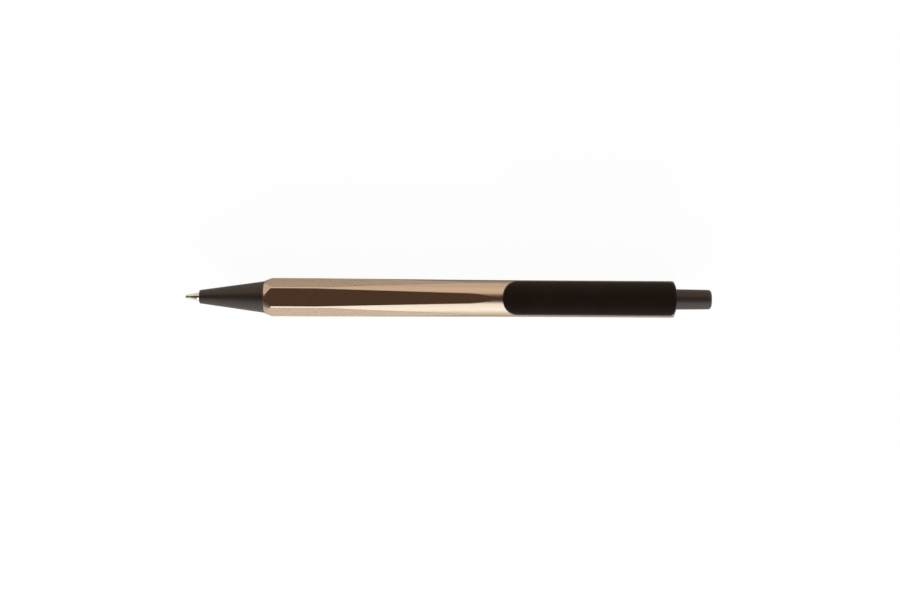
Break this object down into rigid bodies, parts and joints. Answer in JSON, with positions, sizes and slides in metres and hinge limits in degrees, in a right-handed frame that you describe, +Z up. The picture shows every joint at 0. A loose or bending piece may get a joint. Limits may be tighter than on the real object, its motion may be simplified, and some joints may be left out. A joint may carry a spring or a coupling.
{
  "type": "click ballpoint pen",
  "caption": "Click ballpoint pen: round aluminium barrel with milled flats, black nose cone, wide black clip and a rear push button that moves the refill.",
  "frame": {"origin": "on the ground under the middle of the pen, which lies level with its clip up", "axes": "+X along the pen from its tip to its push button, +Z up towards the clip, +Y across the pen"},
  "size_m": [0.14, 0.0102, 0.0117],
  "materials": {
    "champagne_aluminium": "satin",
    "brass_bush": "satin",
    "black_nose": "matte",
    "ball_carbide": "polished",
    "nickel_silver": "gloss",
    "tube_plastic": "satin",
    "ink": "gloss",
    "spring_steel": "gloss",
    "white_acetal": "satin",
    "black_button": "matte",
    "black_cap": "satin",
    "black_clip": "satin"
  },
  "bodies": {
    "barrel": {"barrel": "champagne_aluminium", "nose_thread_bush": "brass_bush", "cam_sleeve": "white_acetal", "end_cap": "black_cap", "return_spring": "spring_steel"},
    "nose": {"nose_cone": "black_nose"},
    "button": {"push_button": "black_button", "plunger": "white_acetal"},
    "refill": {"refill_tube": "tube_plastic", "ink_column": "ink", "refill_tip": "nickel_silver", "writing_ball": "ball_carbide"},
    "rotor": {"cam_rotor": "white_acetal"},
    "clip": {"clip": "black_clip"}
  },
  "joints": [
    {"name": "button_press", "type": "slide", "parent": "barrel", "child": "button", "axis": [-1, 0, 0], "range_m": [-0.005, 0.0013], "stiffness_N_per_m": 300},
    {"name": "refill_slide", "type": "slide", "parent": "barrel", "child": "refill", "axis": [-1, 0, 0], "range_m": [-0.005, 0.0013], "deforming": ["return_spring"]},
    {"name": "rotor_turn", "type": "hinge", "parent": "refill", "child": "rotor", "pos_m": [0.043, 0, 0.00487], "axis": [1, 0, 0], "continuous": true},
    {"name": "clip_flex", "type": "hinge", "parent": "barrel", "child": "clip", "pos_m": [0.057, 0, 0.00953], "axis": [0, 1, 0], "range_deg": [0, 4.5], "stiffness_Nm_per_rad": 2},
    {"name": "nose_cone_off", "type": "slide", "parent": "barrel", "child": "nose", "axis": [-1, 0, 0], "range_m": [0, 0.032]}
  ],
  "couplings": [
    {"joint": "refill_slide", "follows": "button_press", "ratio": 1}
  ]
}
